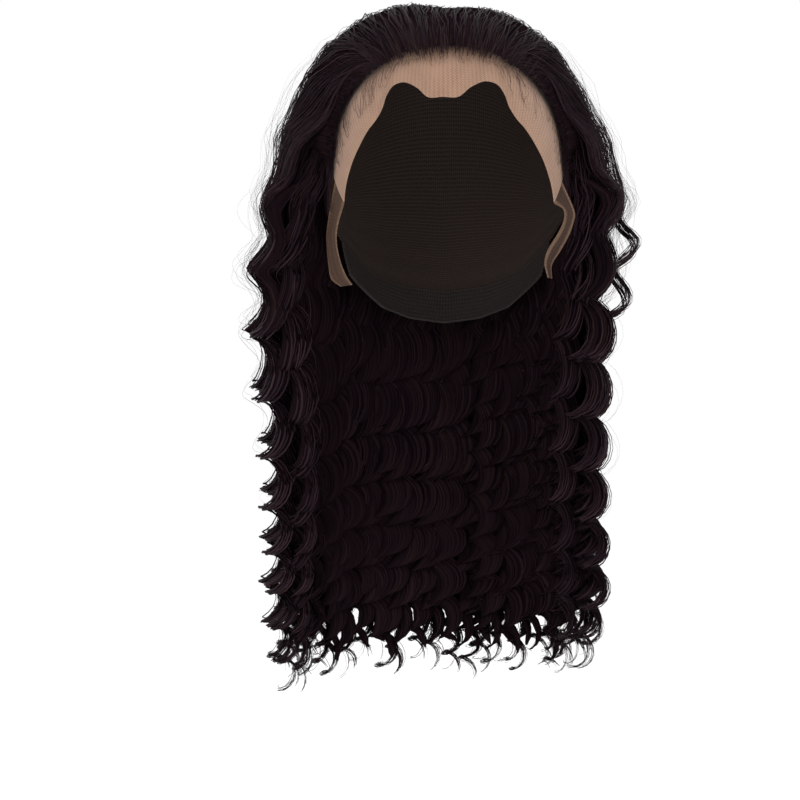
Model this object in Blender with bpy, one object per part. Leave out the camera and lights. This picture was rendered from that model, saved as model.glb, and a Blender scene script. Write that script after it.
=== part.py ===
"""A lace front wig in its worn form: hair swept back from a lace hairline, then hanging in deep waves.

Metres, +Z up. The face side looks along -Y, and -X is the left of someone who faces the wig.
The origin is on the inside of the cap, where the crown of the head bears.
Angles round the head, called bearings, count from the front: 0 is the face, 90 is +X and 180 is the back.
"""

import bmesh
import bpy
import numpy as np

MM = 0.001

# Head that the cap fits: an ellipsoid of 55 cm girth, with its top at the origin
HEAD_HALF_SIZES = np.array((77.0, 98.0, 110.0)) * MM
HEAD_CENTRE = np.array((0.0, 0.0, -110.0)) * MM

# Cloth and clearances
NET_WALL = 1.5 * MM
LACE_WALL = 1.0 * MM
BAND_WALL = 2.0 * MM
SEAM_GAP = 0.3 * MM
LACE_SEAM_GAP = 0.8 * MM
HAIR_CLEARANCE = 1.5 * MM
SEAM_BEHIND_HAIRLINE = np.radians(9.0)
NAPE_BAND_HEIGHT = 22.0 * MM
COMB_LEAN = np.radians(12.0)

# Lace panel from the middle of the forehead (share 0) to the ear (share 1): the hairline and the cut edge.
# The wig is worn a few degrees askew at the forehead and straight at the ears.
LACE_COLUMNS = ("share", "hair_bearing", "hair_height", "cut_bearing", "cut_height")
LACE_TABLE = (
    (0.00, 0.0, -36.0, 0.0, -61.5),
    (0.07, 7.0, -36.0, 7.5, -61.5),
    (0.13, 13.0, -36.0, 14.0, -55.0),
    (0.20, 20.0, -36.5, 22.0, -50.5),
    (0.27, 27.0, -37.5, 29.0, -52.0),
    (0.31, 32.0, -38.5, 32.0, -58.5),
    (0.36, 38.0, -40.0, 33.0, -66.0),
    (0.42, 45.0, -43.0, 36.0, -73.0),
    (0.50, 53.0, -49.0, 40.5, -79.0),
    (0.60, 62.0, -59.0, 45.0, -87.0),
    (0.72, 67.0, -71.0, 50.0, -97.0),
    (0.85, 67.0, -87.0, 55.0, -110.0),
    (1.00, 67.0, -103.0, 58.0, -121.0),
)
WORN_ASKEW = -4.0

# Lower edge of the net dome, from the middle of the nape (share 0), over the ear, to its front (share 1)
CAP_EDGE_COLUMNS = ("share", "bearing", "height")
CAP_EDGE_TABLE = (
    (0.00, 180.0, -168.0),
    (0.25, 155.0, -165.0),
    (0.48, 135.0, -158.0),
    (0.64, 118.0, -142.0),
    (0.76, 105.0, -129.0),
    (0.88, 90.0, -122.0),
    (1.00, 77.0, -121.0),
)
NAPE_BAND_END_SHARE = 0.68

# Thickness of the hair on the crown: at the very top, and what it gains towards the sides and the back
CROWN_THICKNESS = 6.5 * MM
LEFT_GAIN = 29.0 * MM
RIGHT_GAIN = 18.0 * MM
BACK_GAIN = 16.0 * MM
HAIRLINE_THICKNESS = 1.6 * MM
HAIRLINE_RISE = np.radians(26.0)

# Step from the hairline (0) to the rim (1) at which the crown hair starts to leave the head
HANGS_FREE_FROM = 0.5

# Hanging hair, a row for each level: how far the outermost hair stands to the left, right and back of the middle
# line, how far back that line lies, and how deep the curtain of hair is at its sides and back, in millimetres
HANGING_COLUMNS = ("height", "left", "right", "back", "middle", "side_depth", "back_depth")
HANGING_TABLE = (
    (-115.0, 118.0, 112.0, 124.0, 0.0, 30.0, 23.0),
    (-140.0, 122.0, 109.0, 125.0, 2.0, 29.0, 24.0),
    (-160.0, 126.0, 105.0, 124.0, 5.0, 29.0, 26.0),
    (-210.0, 127.0, 103.0, 121.0, 15.0, 29.0, 28.0),
    (-260.0, 121.0, 104.0, 117.0, 25.0, 29.0, 28.0),
    (-320.0, 120.0, 106.0, 113.0, 32.0, 29.0, 27.0),
    (-380.0, 118.0, 104.0, 109.0, 35.0, 26.0, 25.0),
    (-440.0, 114.0, 95.0, 104.0, 36.0, 22.0, 23.0),
)

# Locks, side by side round the head from the left temple by the nape to the right temple
LOCK_NAMES = (
    [f"lock_left_{n}" for n in range(1, 6)]
    + [f"lock_back_{n}" for n in range(1, 7)]
    + [f"lock_right_{n}" for n in range(5, 0, -1)]
)
TEMPLE_BEARING = 72.0
RIM_HEIGHT = HANGING_TABLE[0][0] * MM
LOCK_SIDES = 6
LOCK_FILL = 0.93
TIP_SIZE = 0.30
TAPER_LEVELS = 9
LEVELS = 42
LEVELS_SHORT_OF_LONGEST = (0, 2, 1, 2, 0, 1, 0, 1, 0, 1, 0, 2, 1, 3, 2, 4)

# Deep wave: four levels to each wave, and waves that tighten from the ears to the tips
LEVELS_PER_WAVE = 4
WAVE_AT_RIM = 44.0 * MM
WAVE_AT_TIP = 19.0 * MM
WAVE_SWING = 6.0 * MM
SWING_GROWS_OVER = 45.0 * MM
PHASE_STEP = 0.19

# Relief of the crown hair: a ridge for each lock, and soft waves down its sides
RIDGE_RELIEF = 1.6 * MM
CROWN_WAVE_RELIEF = 2.5 * MM
CROWN_WAVE = 50.0 * MM
COLUMNS_PER_LOCK = 3
CROWN_ROWS = 10
CAP_ROWS = 9
LACE_ROWS = 4

# Free ear tabs, a row for each crossing of the strip below the lace that carries it: its front and rear edges
TAB_COLUMNS = ("front_x", "front_y", "rear_x", "rear_y", "height")
TAB_LEFT_TABLE = (
    (-69.5, -44.0, -77.0, -24.0, -134.0),
    (-70.0, -42.0, -77.5, -22.0, -145.0),
    (-67.5, -42.5, -76.5, -21.0, -157.0),
    (-64.0, -45.0, -74.5, -22.0, -166.0),
    (-60.5, -47.0, -68.0, -30.0, -171.5),
)
TAB_RIGHT_TABLE = (
    (71.5, -50.0, 78.5, -42.0, -124.5),
    (72.0, -50.5, 78.0, -41.0, -131.5),
    (68.5, -50.0, 75.0, -38.0, -140.0),
    (62.5, -50.0, 70.0, -35.0, -149.5),
    (60.0, -49.0, 65.0, -36.0, -158.0),
    (62.0, -47.5, 65.0, -38.0, -167.0),
)
TAB_SHARE_OF_LACE_END = 0.55
TAB_GAP = 0.6 * MM

# Edges sharper than this stay sharp in the shading
SHARP_ANGLE = np.radians(50.0)

# Colours from the photograph, in linear light
HAIR_COLOUR = (0.011, 0.008, 0.009)
LACE_COLOUR = (0.42, 0.28, 0.19)
NET_COLOUR = (0.030, 0.020, 0.016)
BAND_COLOUR = (0.020, 0.015, 0.013)


def clear_scene():
    for obj in list(bpy.data.objects):
        bpy.data.objects.remove(obj)


def make_material(name, colour, roughness):
    material = bpy.data.materials.new(name)
    material.use_nodes = True
    shader = material.node_tree.nodes["Principled BSDF"]
    shader.inputs["Base Color"].default_value = (*colour, 1.0)
    shader.inputs["Roughness"].default_value = roughness
    shader.inputs["Metallic"].default_value = 0.0
    return material


def read_table(table, columns, column, at):
    """The column of a table at each value of its first column, on straight lines between the rows."""
    rows = np.array(sorted(table))
    return np.interp(at, rows[:, 0], rows[:, columns.index(column)])


def head_direction(bearing_deg, height):
    """Unit directions from the head's centre, in a space where the head is a sphere."""
    up = np.clip((height - HEAD_CENTRE[2]) / HEAD_HALF_SIZES[2], -1.0, 1.0)
    level = np.sqrt(1.0 - up**2)
    bearing = np.radians(bearing_deg)
    return np.stack([level * np.sin(bearing), -level * np.cos(bearing), up], axis=-1)


def on_head(direction, proud=0.0):
    """Points this far outside the head, in those directions."""
    return HEAD_CENTRE + direction * (HEAD_HALF_SIZES + np.asarray(proud)[..., None])


def angle_between(start, end):
    return np.arccos(np.clip(np.sum(start * end, axis=-1), -1.0, 1.0))


def unit(vectors):
    return vectors / np.linalg.norm(vectors, axis=-1, keepdims=True)


def blend(start, end, share):
    """Directions on the way from start to end, at shares 0 to 1 of it."""
    return unit((1.0 - share) * start + share * end)


def behind_the_top(start, end):
    """Directions just behind the top of the head, as far to the side as the mean of start and end."""
    across = (start[..., 0] + end[..., 0]) / 2.0
    lift = np.sqrt(1.0 - across**2)
    return np.stack([across, lift * np.sin(COMB_LEAN), lift * np.cos(COMB_LEAN)], axis=-1)


def comb(start, end, share):
    """Directions along a curve over the head that leaves start and reaches end by way of behind_the_top."""
    way = behind_the_top(start, end)
    return unit((1.0 - share) ** 2 * start + 2.0 * share * (1.0 - share) * way + share**2 * end)


def mirrored(table_share):
    """Shares from the left ear to the right ear, and the side of each: -1, 0 or 1."""
    share = np.array(table_share)
    return np.concatenate([share[::-1], share[1:]]), np.concatenate([-np.ones(len(share)), np.ones(len(share) - 1)])


def lace_line(which, share, side):
    """Directions of the hairline or the cut edge, which names the pair of columns: hair or cut."""
    bearing = read_table(LACE_TABLE, LACE_COLUMNS, f"{which}_bearing", share)
    height = read_table(LACE_TABLE, LACE_COLUMNS, f"{which}_height", share) * MM
    return head_direction(bearing * side + WORN_ASKEW * (1.0 - share), height)


def cap_edge_line(share, side):
    bearing = read_table(CAP_EDGE_TABLE, CAP_EDGE_COLUMNS, "bearing", share)
    height = read_table(CAP_EDGE_TABLE, CAP_EDGE_COLUMNS, "height", share) * MM
    return head_direction(bearing * side, height)


def hanging(column, height):
    """A column of the hanging table, in metres, at each height in metres."""
    return read_table(HANGING_TABLE, HANGING_COLUMNS, column, height / MM) * MM


def in_curtain(bearing_deg, height, depth):
    """Points of the hanging hair: depth is 0 at its outer face and 1 at its inner face."""
    across = np.sin(np.radians(bearing_deg))
    back = -np.cos(np.radians(bearing_deg))
    side = np.where(across < 0.0, hanging("left", height), hanging("right", height))
    half_width = side - depth * hanging("side_depth", height)
    middle = hanging("middle", height)
    half_depth = hanging("back", height) - middle - depth * hanging("back_depth", height)
    return np.stack([half_width * across, middle + half_depth * back, height + 0.0 * across], axis=-1)


def add_object(name, vertices, faces, material):
    """A mesh object of those faces, its faces turned outwards as one closed or open skin."""
    mesh = bpy.data.meshes.new(name)
    mesh.from_pydata([tuple(v) for v in vertices], [], faces)
    skin = bmesh.new()
    skin.from_mesh(mesh)
    bmesh.ops.recalc_face_normals(skin, faces=skin.faces)
    skin.to_mesh(mesh)
    skin.free()
    mesh.materials.append(material)
    mesh.shade_smooth()
    mesh.set_sharp_from_angle(angle=SHARP_ANGLE)
    obj = bpy.data.objects.new(name, mesh)
    bpy.context.scene.collection.objects.link(obj)
    return obj


def grid_faces(rows, columns, first=0):
    """Quads of a grid whose vertices are numbered row by row."""
    corners = [(r * columns + c + first) for r in range(rows - 1) for c in range(columns - 1)]
    return [(n, n + 1, n + columns + 1, n + columns) for n in corners]


def grid_border(rows, columns):
    """Vertex numbers once round the border of a grid."""
    top = list(range(columns - 1))
    right = [r * columns + columns - 1 for r in range(rows - 1)]
    bottom = [(rows - 1) * columns + c for c in range(columns - 1, 0, -1)]
    left = [r * columns for r in range(rows - 1, 0, -1)]
    return top + right + bottom + left


def add_wall(name, inner, outer, material):
    """A closed body between two grids of the same shape, such as the hair between scalp and outline."""
    rows, columns = inner.shape[:2]
    count = rows * columns
    border = grid_border(rows, columns)
    rim = [(a, b, b + count, a + count) for a, b in zip(border, border[1:] + border[:1])]
    faces = grid_faces(rows, columns) + grid_faces(rows, columns, count) + rim
    return add_object(name, np.concatenate([inner.reshape(-1, 3), outer.reshape(-1, 3)]), faces, material)


def add_cloth(name, inner_directions, wall, material):
    """Cloth that lies on the head and stands out by its own thickness."""
    return add_wall(name, on_head(inner_directions), on_head(inner_directions, wall), material)


def add_loft(name, rings, material):
    """A closed body through rings of points, with a flat cap on the first and the last."""
    levels, sides = rings.shape[:2]
    ring_numbers = np.arange(levels * sides).reshape(levels, sides)
    faces = [
        (upper[s], upper[(s + 1) % sides], lower[(s + 1) % sides], lower[s])
        for upper, lower in zip(ring_numbers, ring_numbers[1:])
        for s in range(sides)
    ]
    caps = [tuple(ring_numbers[0]), tuple(ring_numbers[-1])]
    faces = [tuple(int(n) for n in face) for face in faces + caps]
    return add_object(name, rings.reshape(-1, 3), faces, material)


def seam_directions(share, side, behind):
    """The hidden seam between lace and net, an angle behind the hairline on the way that the hair is combed."""
    hairline = lace_line("hair", share, side)
    way = behind_the_top(hairline, cap_edge_line(share, side))
    onwards = unit(way - np.sum(way * hairline, axis=-1, keepdims=True) * hairline)
    return np.cos(behind) * hairline + np.sin(behind) * onwards


def add_lace_front(material):
    share, side = mirrored([row[0] for row in LACE_TABLE])
    cut_edge = lace_line("cut", share, side)
    seam = seam_directions(share, side, SEAM_BEHIND_HAIRLINE)
    rows = [blend(cut_edge, seam, step) for step in np.linspace(0.0, 1.0, LACE_ROWS + 1)]
    return add_cloth("lace_front", np.stack(rows), LACE_WALL, material)


def add_cap_crown(material):
    share, side = mirrored([row[0] for row in LACE_TABLE])
    seam_gap_angle = LACE_SEAM_GAP / HEAD_HALF_SIZES[0]
    seam = seam_directions(share, side, SEAM_BEHIND_HAIRLINE + seam_gap_angle)
    edge = cap_edge_line(share, side)
    rows = [comb(seam, edge, step) for step in np.linspace(0.0, 1.0, CAP_ROWS + 1)]
    return add_cloth("cap_crown", np.stack(rows), NET_WALL, material)


def add_nape_band(material):
    """The band carries on below the net dome's edge, from behind one ear to behind the other."""
    share, side = mirrored([row[0] for row in LACE_TABLE if row[0] <= NAPE_BAND_END_SHARE])
    bearing = read_table(CAP_EDGE_TABLE, CAP_EDGE_COLUMNS, "bearing", share) * side
    height = read_table(CAP_EDGE_TABLE, CAP_EDGE_COLUMNS, "height", share) * MM
    rows = [head_direction(bearing, height - drop) for drop in (SEAM_GAP, NAPE_BAND_HEIGHT / 2, NAPE_BAND_HEIGHT)]
    return add_cloth("nape_band", np.stack(rows), BAND_WALL, material)


def add_ear_tab(name, side, table, material):
    """A free strip of lace in a soft fold below the end of the lace panel, with Solidify for its thickness."""
    end = np.array([1.0])
    cut_edge = lace_line("cut", end, side)
    seam = seam_directions(end, side, SEAM_BEHIND_HAIRLINE)
    steps = TAB_SHARE_OF_LACE_END * np.array((0.0, 0.5, 1.0))
    top = np.stack([on_head(blend(cut_edge, seam, step), LACE_WALL / 2) for step in steps], axis=1)
    top[..., 2] -= TAB_GAP
    rows = np.array(table) * MM
    front = rows[:, [TAB_COLUMNS.index(c) for c in ("front_x", "front_y", "height")]]
    rear = rows[:, [TAB_COLUMNS.index(c) for c in ("rear_x", "rear_y", "height")]]
    strip = np.concatenate([top, np.stack([front, (front + rear) / 2, rear], axis=1)])
    obj = add_object(name, strip.reshape(-1, 3), grid_faces(*strip.shape[:2]), material)
    wall = obj.modifiers.new("lace wall", "SOLIDIFY")
    wall.thickness = LACE_WALL
    wall.offset = 0.0
    return obj


def crown_fullness(from_hairline):
    """Share of the hair's full depth, from 0 at the hairline to 1 where it is full."""
    return np.sin(np.clip(from_hairline / HAIRLINE_RISE, 0.0, 1.0) * np.pi / 2)


def crown_thickness(direction, fullness):
    """Hair thickness over the scalp: a feather edge at the hairline, and most depth at the sides."""
    across, back = direction[..., 0], np.maximum(direction[..., 1], 0.0)
    level = np.maximum(np.hypot(direction[..., 0], direction[..., 1]), 1e-9)
    side_gain = np.where(across < 0.0, LEFT_GAIN, RIGHT_GAIN)
    full = CROWN_THICKNESS + (side_gain * across**2 + BACK_GAIN * back**2) / level
    return HAIRLINE_THICKNESS + (full - HAIRLINE_THICKNESS) * fullness


def add_crown_hair(material):
    """Hair combed back from the hairline over the cap, down to a level rim from which the locks hang."""
    columns = len(LOCK_NAMES) * COLUMNS_PER_LOCK + 1
    across = np.linspace(-1.0, 1.0, columns)
    share, side = np.abs(across), np.where(across < 0.0, -1.0, 1.0)
    hairline = lace_line("hair", share, side)
    rim_bearing = side * (180.0 - (180.0 - TEMPLE_BEARING) * share)
    rim = head_direction(rim_bearing, np.full(columns, RIM_HEIGHT))
    inner_proud = NET_WALL + HAIR_CLEARANCE
    ridge = RIDGE_RELIEF * np.cos(2.0 * np.pi * np.arange(columns) / COLUMNS_PER_LOCK)
    inner_rows, outer_rows = [], []
    for step in np.linspace(0.0, 1.0, CROWN_ROWS + 1):
        direction = comb(hairline, rim, step)
        fullness = crown_fullness(angle_between(hairline, direction))
        height = on_head(direction)[:, 2]
        wave = CROWN_WAVE_RELIEF * np.sin(2.0 * np.pi * (height - RIM_HEIGHT) / CROWN_WAVE)
        relief = (ridge + wave * np.abs(direction[:, 0])) * np.sin(np.pi * step) * fullness
        inner_rows.append(on_head(direction, inner_proud))
        on_scalp = on_head(direction, inner_proud + crown_thickness(direction, fullness) + relief)
        hanging_free = (max(step - HANGS_FREE_FROM, 0.0) / (1.0 - HANGS_FREE_FROM)) ** 2
        curtain = in_curtain(rim_bearing, height, np.zeros(columns))
        outer_rows.append((1.0 - hanging_free) * on_scalp + hanging_free * curtain)
    inner_rows[-1][:, 2] = RIM_HEIGHT
    outer_rows[-1][:, 2] = RIM_HEIGHT
    return add_wall("crown_hair", np.stack(inner_rows), np.stack(outer_rows), material)


def level_heights():
    """Heights of the rings of a lock, a quarter of a wave apart, from the rim to the longest tip."""
    wave = np.linspace(WAVE_AT_RIM, WAVE_AT_TIP, LEVELS - 1)
    drop = np.concatenate([[0.0], np.cumsum(wave / LEVELS_PER_WAVE)])
    return RIM_HEIGHT - SEAM_GAP - drop


def add_lock(number, name, material):
    """One hanging lock: rings that fill its share of the curtain, swung round a helix, tapering to a tip."""
    heights = level_heights()
    levels = LEVELS - LEVELS_SHORT_OF_LONGEST[number]
    share_of_turn = (number + 0.5) / len(LOCK_NAMES)
    whole_turn = 2.0 * (180.0 - TEMPLE_BEARING)
    bearing = -TEMPLE_BEARING - whole_turn * share_of_turn
    half_cell = whole_turn / len(LOCK_NAMES) / 2.0
    corner = 2.0 * np.pi * np.arange(LOCK_SIDES) / LOCK_SIDES
    outwards = np.array((np.sin(np.radians(bearing)), -np.cos(np.radians(bearing)), 0.0))
    sideways = np.array((-outwards[1], outwards[0], 0.0))
    rings = []
    for level in range(levels):
        height = np.full(LOCK_SIDES, heights[level])
        left_to_tip = (levels - 1 - level) / TAPER_LEVELS
        size = LOCK_FILL * (TIP_SIZE + (1.0 - TIP_SIZE) * np.sin(min(left_to_tip, 1.0) * np.pi / 2))
        ring = in_curtain(bearing + half_cell * size * np.cos(corner), height, 0.5 + 0.5 * size * np.sin(corner))
        phase = 2.0 * np.pi * level / LEVELS_PER_WAVE + PHASE_STEP * number
        swing = WAVE_SWING * min((RIM_HEIGHT - heights[level]) / SWING_GROWS_OVER, 1.0)
        rings.append(ring + swing * (np.cos(phase) * outwards + np.sin(phase) * sideways))
    return add_loft(name, np.stack(rings), material)


def main():
    clear_scene()
    lace = make_material("tan_lace", LACE_COLOUR, 0.85)
    net = make_material("stretch_net", NET_COLOUR, 0.90)
    elastic = make_material("elastic", BAND_COLOUR, 0.80)
    hair = make_material("dark_hair", HAIR_COLOUR, 0.45)
    add_lace_front(lace)
    add_cap_crown(net)
    add_nape_band(elastic)
    add_ear_tab("ear_tab_left", -1.0, TAB_LEFT_TABLE, lace)
    add_ear_tab("ear_tab_right", 1.0, TAB_RIGHT_TABLE, lace)
    add_crown_hair(hair)
    for number, name in enumerate(LOCK_NAMES):
        add_lock(number, name, hair)


main()
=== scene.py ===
"""The looks of a lace front wig: strands in deep waves, a net lace front, the cap inside and the camera.

Metres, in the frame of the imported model. Bearings count from the front: 0 is the face, 90 is +X and 180
the back. Hair is followed by four numbers. across runs round the head, from -1 at the left temple by the
back to 1 at the right temple. step runs from 0 at the hairline to 1 at the rim, where hair hangs free.
level counts quarter waves below the rim. depth is 0 on the outside of the hair and 1 at its inside.
"""

import bpy
import numpy as np
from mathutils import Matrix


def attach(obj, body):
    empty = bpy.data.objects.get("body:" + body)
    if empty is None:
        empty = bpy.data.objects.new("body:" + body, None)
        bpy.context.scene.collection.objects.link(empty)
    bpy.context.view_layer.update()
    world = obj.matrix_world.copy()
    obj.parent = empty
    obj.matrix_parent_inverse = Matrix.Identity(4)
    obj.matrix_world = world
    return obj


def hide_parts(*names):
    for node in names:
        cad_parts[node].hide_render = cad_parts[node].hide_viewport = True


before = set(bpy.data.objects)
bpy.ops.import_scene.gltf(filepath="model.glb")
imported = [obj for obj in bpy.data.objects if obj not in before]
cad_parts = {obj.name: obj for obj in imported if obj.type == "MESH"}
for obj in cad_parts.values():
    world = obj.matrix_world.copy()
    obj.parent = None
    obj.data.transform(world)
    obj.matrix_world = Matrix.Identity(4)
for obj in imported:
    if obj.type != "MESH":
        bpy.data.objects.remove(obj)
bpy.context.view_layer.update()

MM = 0.001
RANDOM = np.random.default_rng(7)

# Head inside the cap, and the sizes of the solids, which the pieces here keep
HEAD_HALF_SIZES = np.array((77.0, 98.0, 110.0)) * MM
HEAD_CENTRE = np.array((0.0, 0.0, -110.0)) * MM
NET_WALL = 1.5 * MM
LACE_WALL = 1.0 * MM
BAND_WALL = 2.0 * MM
SEAM_GAP = 0.3 * MM
LACE_SEAM_GAP = 0.8 * MM
HAIR_CLEARANCE = 1.5 * MM
SEAM_BEHIND_HAIRLINE = np.radians(9.0)
NAPE_BAND_HEIGHT = 22.0 * MM
COMB_LEAN = np.radians(12.0)

LACE_COLUMNS = ("share", "hair_bearing", "hair_height", "cut_bearing", "cut_height")
LACE_TABLE = (
    (0.00, 0.0, -36.0, 0.0, -61.5),
    (0.07, 7.0, -36.0, 7.5, -61.5),
    (0.13, 13.0, -36.0, 14.0, -55.0),
    (0.20, 20.0, -36.5, 22.0, -50.5),
    (0.27, 27.0, -37.5, 29.0, -52.0),
    (0.31, 32.0, -38.5, 32.0, -58.5),
    (0.36, 38.0, -40.0, 33.0, -66.0),
    (0.42, 45.0, -43.0, 36.0, -73.0),
    (0.50, 53.0, -49.0, 40.5, -79.0),
    (0.60, 62.0, -59.0, 45.0, -87.0),
    (0.72, 67.0, -71.0, 50.0, -97.0),
    (0.85, 67.0, -87.0, 55.0, -110.0),
    (1.00, 67.0, -103.0, 58.0, -121.0),
)
WORN_ASKEW = -4.0

CAP_EDGE_COLUMNS = ("share", "bearing", "height")
CAP_EDGE_TABLE = (
    (0.00, 180.0, -168.0),
    (0.25, 155.0, -165.0),
    (0.48, 135.0, -158.0),
    (0.64, 118.0, -142.0),
    (0.76, 105.0, -129.0),
    (0.88, 90.0, -122.0),
    (1.00, 77.0, -121.0),
)
NAPE_BAND_END_SHARE = 0.68

CROWN_THICKNESS = 6.5 * MM
LEFT_GAIN = 29.0 * MM
RIGHT_GAIN = 18.0 * MM
BACK_GAIN = 16.0 * MM
HAIRLINE_THICKNESS = 1.6 * MM
HAIRLINE_RISE = np.radians(26.0)
HANGS_FREE_FROM = 0.5

HANGING_COLUMNS = ("height", "left", "right", "back", "middle", "side_depth", "back_depth")
HANGING_TABLE = (
    (-115.0, 118.0, 112.0, 124.0, 0.0, 30.0, 23.0),
    (-140.0, 122.0, 109.0, 125.0, 2.0, 29.0, 24.0),
    (-160.0, 126.0, 105.0, 124.0, 5.0, 29.0, 26.0),
    (-210.0, 127.0, 103.0, 121.0, 15.0, 29.0, 28.0),
    (-260.0, 121.0, 104.0, 117.0, 25.0, 29.0, 28.0),
    (-320.0, 120.0, 106.0, 113.0, 32.0, 29.0, 27.0),
    (-380.0, 118.0, 104.0, 109.0, 35.0, 26.0, 25.0),
    (-440.0, 114.0, 95.0, 104.0, 36.0, 22.0, 23.0),
)

LOCK_NAMES = (
    [f"lock_left_{n}" for n in range(1, 6)]
    + [f"lock_back_{n}" for n in range(1, 7)]
    + [f"lock_right_{n}" for n in range(5, 0, -1)]
)
TEMPLE_BEARING = 72.0
RIM_HEIGHT = -115.0 * MM
LEVELS = 42
LEVELS_SHORT_OF_LONGEST = (0, 2, 1, 2, 0, 1, 0, 1, 0, 1, 0, 2, 1, 3, 2, 4)
LEVELS_PER_WAVE = 4
WAVE_AT_RIM = 44.0 * MM
WAVE_AT_TIP = 19.0 * MM
WAVE_SWING = 6.0 * MM
PHASE_STEP = 0.19

TAB_COLUMNS = ("front_x", "front_y", "rear_x", "rear_y", "height")
TAB_LEFT_TABLE = (
    (-69.5, -44.0, -77.0, -24.0, -134.0),
    (-70.0, -42.0, -77.5, -22.0, -145.0),
    (-67.5, -42.5, -76.5, -21.0, -157.0),
    (-64.0, -45.0, -74.5, -22.0, -166.0),
    (-60.5, -47.0, -68.0, -30.0, -171.5),
)
TAB_RIGHT_TABLE = (
    (71.5, -50.0, 78.5, -42.0, -124.5),
    (72.0, -50.5, 78.0, -41.0, -131.5),
    (68.5, -50.0, 75.0, -38.0, -140.0),
    (62.5, -50.0, 70.0, -35.0, -149.5),
    (60.0, -49.0, 65.0, -36.0, -158.0),
    (62.0, -47.5, 65.0, -38.0, -167.0),
)
TAB_SHARE_OF_LACE_END = 0.55
TAB_GAP = 0.6 * MM
TAB_UV_WIDTH = 0.016
LACE_CELL = 1.3 * MM
LACE_THREAD = 0.26 * MM
WEFT_ROWS = 17
BAND_RIBS = 8

# Camera: the photo's, level with the middle of the hair
IMAGE_SIZE = 800
SENSOR = 36.0
CAMERA_DISTANCE = 1.2
VIEW_WIDTH = 0.52
CAMERA_X = -30.5 * MM
CAMERA_Z = -244.0 * MM
FLOOR_HEIGHT = -0.56

# Strands: how many of each family, and how fine
STRANDS_PER_LOCK = 38
FILL_STRANDS_PER_LOCK = 12
BESIDE_THE_FACE = 16
STRANDS_PER_STRAY_LOCK = 13
CROWN_STRANDS = 900
ROOT_STRANDS = 950
FLYAWAYS = 112
HAIRLINE_WISPS = 170
TEMPLE_STRANDS = 90
STRAND_WIDTH = 1.25 * MM
ROOT_WIDTH = 0.20 * MM
FLYAWAY_WIDTH = 0.21 * MM
LOCK_POINTS = (12, 104)
FILL_POINTS = (3, 84)
FILL_POINTS_FROM_HAIRLINE = (9, 84)
STRAY_POINTS = (12, 96)
CROWN_POINTS = (19, 4)
FLYAWAY_POINTS = (14, 64)
ROOT_POINTS = 5
TEMPLE_POINTS = 12
WISP_POINTS = 16
CORE_SIDES = 10
CORE_POINTS = (3, 69)
CORE_START = 0.88
CLUMPS_ACROSS = 2
CLUMPS_DEEP = 2
HALF_CLUMP_ACROSS = 1.0 / len(LOCK_NAMES) / CLUMPS_ACROSS
HALF_CLUMP_DEEP = 0.26
FACE_EDGE_FROM = 0.96

# The clumps that make the outline seen from the front, and how deep the outer layer lies at each side
OUTLINE_AT = 0.84
OUTLINE_REACH = 0.14
OUTER_LAYER_LEFT = 0.28
OUTER_LAYER_RIGHT = 0.36
LAYER_STEP = 0.47
LONGEST_END = LEVELS - 1.0
END_UNEVEN_BY = 2.2

# Waves: the share of their swing that they have on the crown, and how far from the root it grows
SWING_ON_CROWN = 0.12
SWING_GROWS_OVER = 45.0 * MM
DRIFT = 1.4 * MM

# Cores, in clump radii: how wide they are, and how much wider inside the back. They end before the strands
CORE_RADIUS = 0.74
CORE_WIDER_AT_BACK = 0.36
CORE_WIDER_INSIDE_BACK = 1.2
CORE_ENDS_BEFORE = 3.0

# How the sides are combed: from |across| SWEPT_FROM to SWEPT_FULLY, outer hair comes from nearer the
# forehead, by up to SWEPT_BY of across, and TEMPLE_LEAN leans its way over the head forwards
SWEPT_FROM = 0.30
SWEPT_FULLY = 0.75
SWEPT_BY = 0.62
TEMPLE_LEAN = np.radians(-18.0)

# Thin locks that have come away from the outline: their waves are shorter by the share STRAYS_TIGHTER,
# and over STRAYS_BELLY_LEVELS they stand farther out, by up to STRAYS_BELLY of the hair's depth
STRAY_COLUMNS = ("across", "out", "depth", "swing_mm", "phase", "end", "spread")
STRAY_TABLE = (
    (0.83, -0.13, 0.45, 6.8, 1.9, 36.0, 0.16),
    (0.80, -0.08, 0.42, 6.2, 1.6, 34.0, 0.45),
    (0.88, -0.02, 0.40, 5.4, 1.7, 35.0, 0.80),
)
STRAYS_TIGHTER = 0.20
STRAYS_BELLY = 0.27
STRAYS_BELLY_LEVELS = 8.0
STRAYS_GATHER_FROM = 6.0
STRAYS_GATHER_OVER = 4.0
HAIR_GATHERS_OVER = 10.0
STRAYS_WAVE_FROM = -0.8
STRAYS_WAVE_OVER = 3.2
HAIR_WAVES_FROM = -8.0
HAIR_WAVES_OVER = 16.0


def read_table(table, columns, column, at):
    """The column of a table at each value of its first column, on straight lines between the rows."""
    rows = np.array(sorted(table))
    return np.interp(at, rows[:, 0], rows[:, columns.index(column)])


def on_curve(points, place):
    """Values on the Catmull-Rom curve through points, at places counted in points."""
    padded = np.concatenate([2 * points[:1] - points[1:2], points, 2 * points[-1:] - points[-2:-1]])
    start = np.clip(place.astype(int), 0, len(points) - 2)
    t = (place - start).reshape(place.shape + (1,) * (points.ndim - 1))
    p0, p1, p2, p3 = (padded[start + n] for n in range(4))
    linear = (p2 - p0) * t
    square = (2 * p0 - 5 * p1 + 4 * p2 - p3) * t**2
    cube = (3 * p1 - p0 - 3 * p2 + p3) * t**3
    return 0.5 * (2 * p1 + linear + square + cube)


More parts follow.
